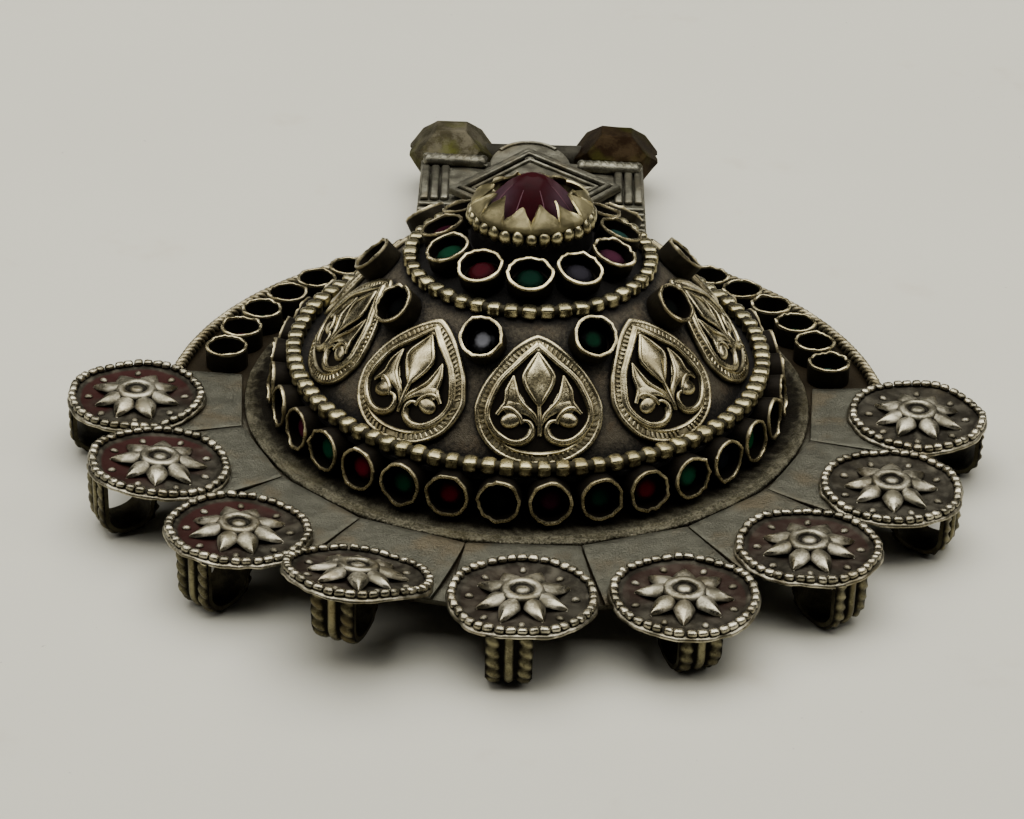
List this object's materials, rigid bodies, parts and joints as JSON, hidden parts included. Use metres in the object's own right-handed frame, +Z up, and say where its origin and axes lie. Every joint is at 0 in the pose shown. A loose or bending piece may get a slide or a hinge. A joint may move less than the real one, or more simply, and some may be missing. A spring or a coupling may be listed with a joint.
{
  "type": "pendant",
  "caption": "Large domed tribal pendant of soldered white metal with glass stones in collets, heart appliques, flower discs with hanging loops, and a neck with a knobbed tubular bail",
  "frame": {"origin": "on the surface that the pendant lies on, under the middle of its bounding box", "axes": "+Z up from the lying surface through the dome, +Y from the middle flower disc towards the neck and the bail, +X to the right seen from the flower discs"},
  "size_m": [0.0964, 0.1144, 0.0311],
  "materials": {
    "worn_metal": "worn",
    "grey_metal": "satin",
    "dark_metal": "tarnished",
    "knob_metal": "tarnished",
    "green_glass": "polished",
    "red_glass": "polished",
    "smoke_glass": "polished"
  },
  "bodies": {
    "root": {"back_plate": "dark_metal", "dome": "dark_metal", "lower_wire": "worn_metal", "upper_wire": "worn_metal", "centre_bead_ring": "worn_metal", "centre_bezel": "worn_metal", "centre_stone": "red_glass", "drum_green_stones": "green_glass", "drum_red_stones": "red_glass", "tier_stones": "green_glass", "slope_stones": "smoke_glass", "rear_stones": "green_glass", "heart_1": "worn_metal", "heart_2": "worn_metal", "heart_3": "worn_metal", "heart_4": "worn_metal", "heart_5": "worn_metal", "heart_6": "worn_metal", "heart_7": "worn_metal", "heart_8": "worn_metal", "heart_9": "worn_metal", "flower_strip_1": "grey_metal", "flower_strip_2": "grey_metal", "flower_strip_3": "grey_metal", "flower_strip_4": "grey_metal", "flower_strip_5": "grey_metal", "flower_strip_6": "grey_metal", "flower_strip_7": "grey_metal", "flower_strip_8": "grey_metal", "flower_strip_9": "grey_metal", "neck": "grey_metal", "diamond_plaque": "worn_metal", "knob_left": "knob_metal", "knob_right": "knob_metal", "bail_tube": "grey_metal"}
  },
  "joints": []
}
